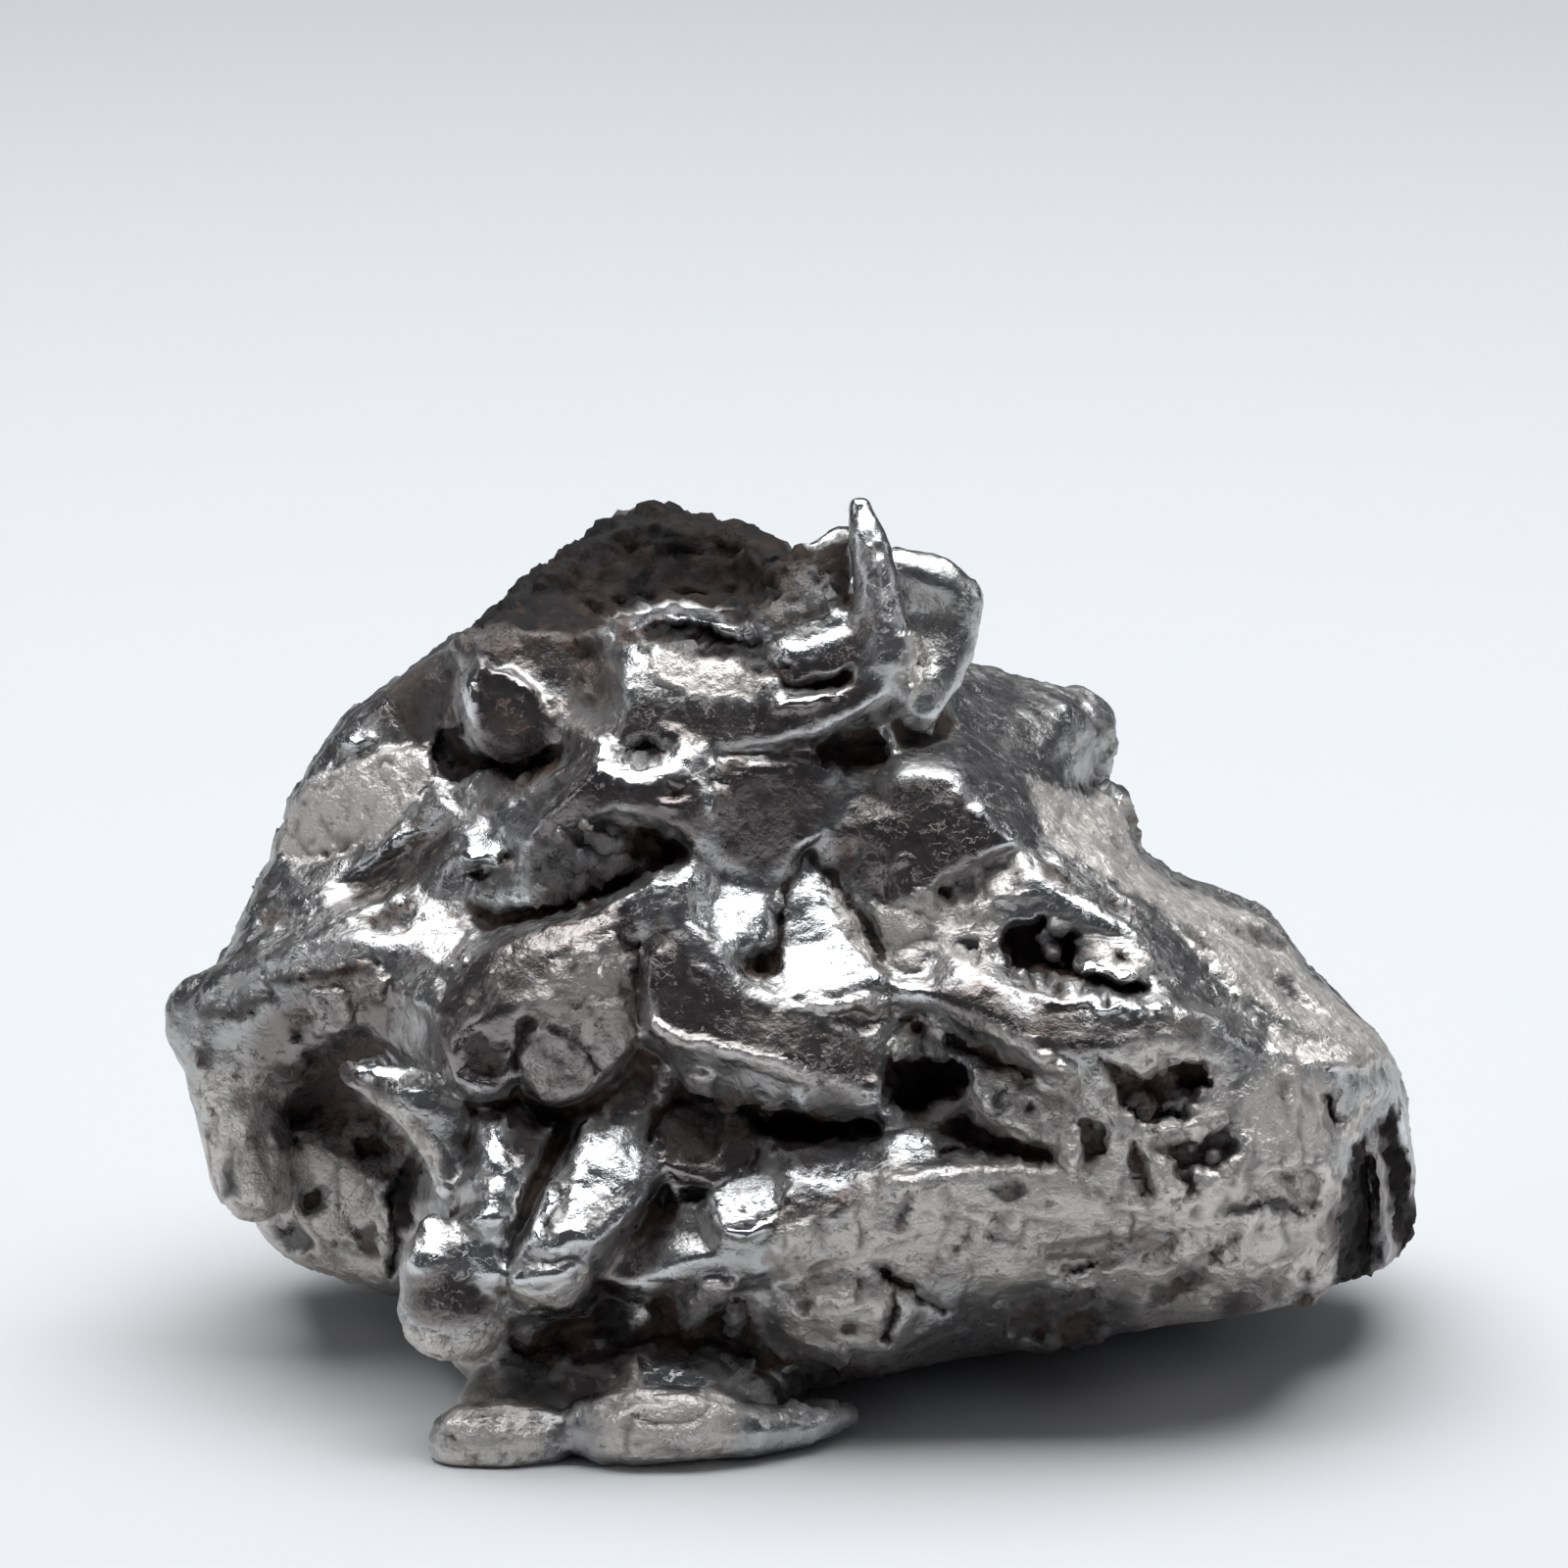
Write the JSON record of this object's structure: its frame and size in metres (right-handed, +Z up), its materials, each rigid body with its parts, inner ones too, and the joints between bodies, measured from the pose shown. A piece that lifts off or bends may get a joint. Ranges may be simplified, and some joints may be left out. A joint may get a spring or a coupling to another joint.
{
  "type": "meteorite specimen",
  "caption": "Small iron meteorite with melted-looking polished ridges, deep cups and pits, a curled crest on top and a knobbed foot below.",
  "frame": {"origin": "centre of the bounding box in plan, on the surface that the stone rests on", "axes": "+X to the right and the stone's longest way, +Y away from the best side, +Z up"},
  "size_m": [0.0326, 0.0254, 0.0231],
  "materials": {
    "nickel_iron": "worn bare metal, bright on the ridges and dark in the hollows"
  },
  "bodies": {
    "root": {"meteorite": "nickel_iron"}
  },
  "joints": []
}
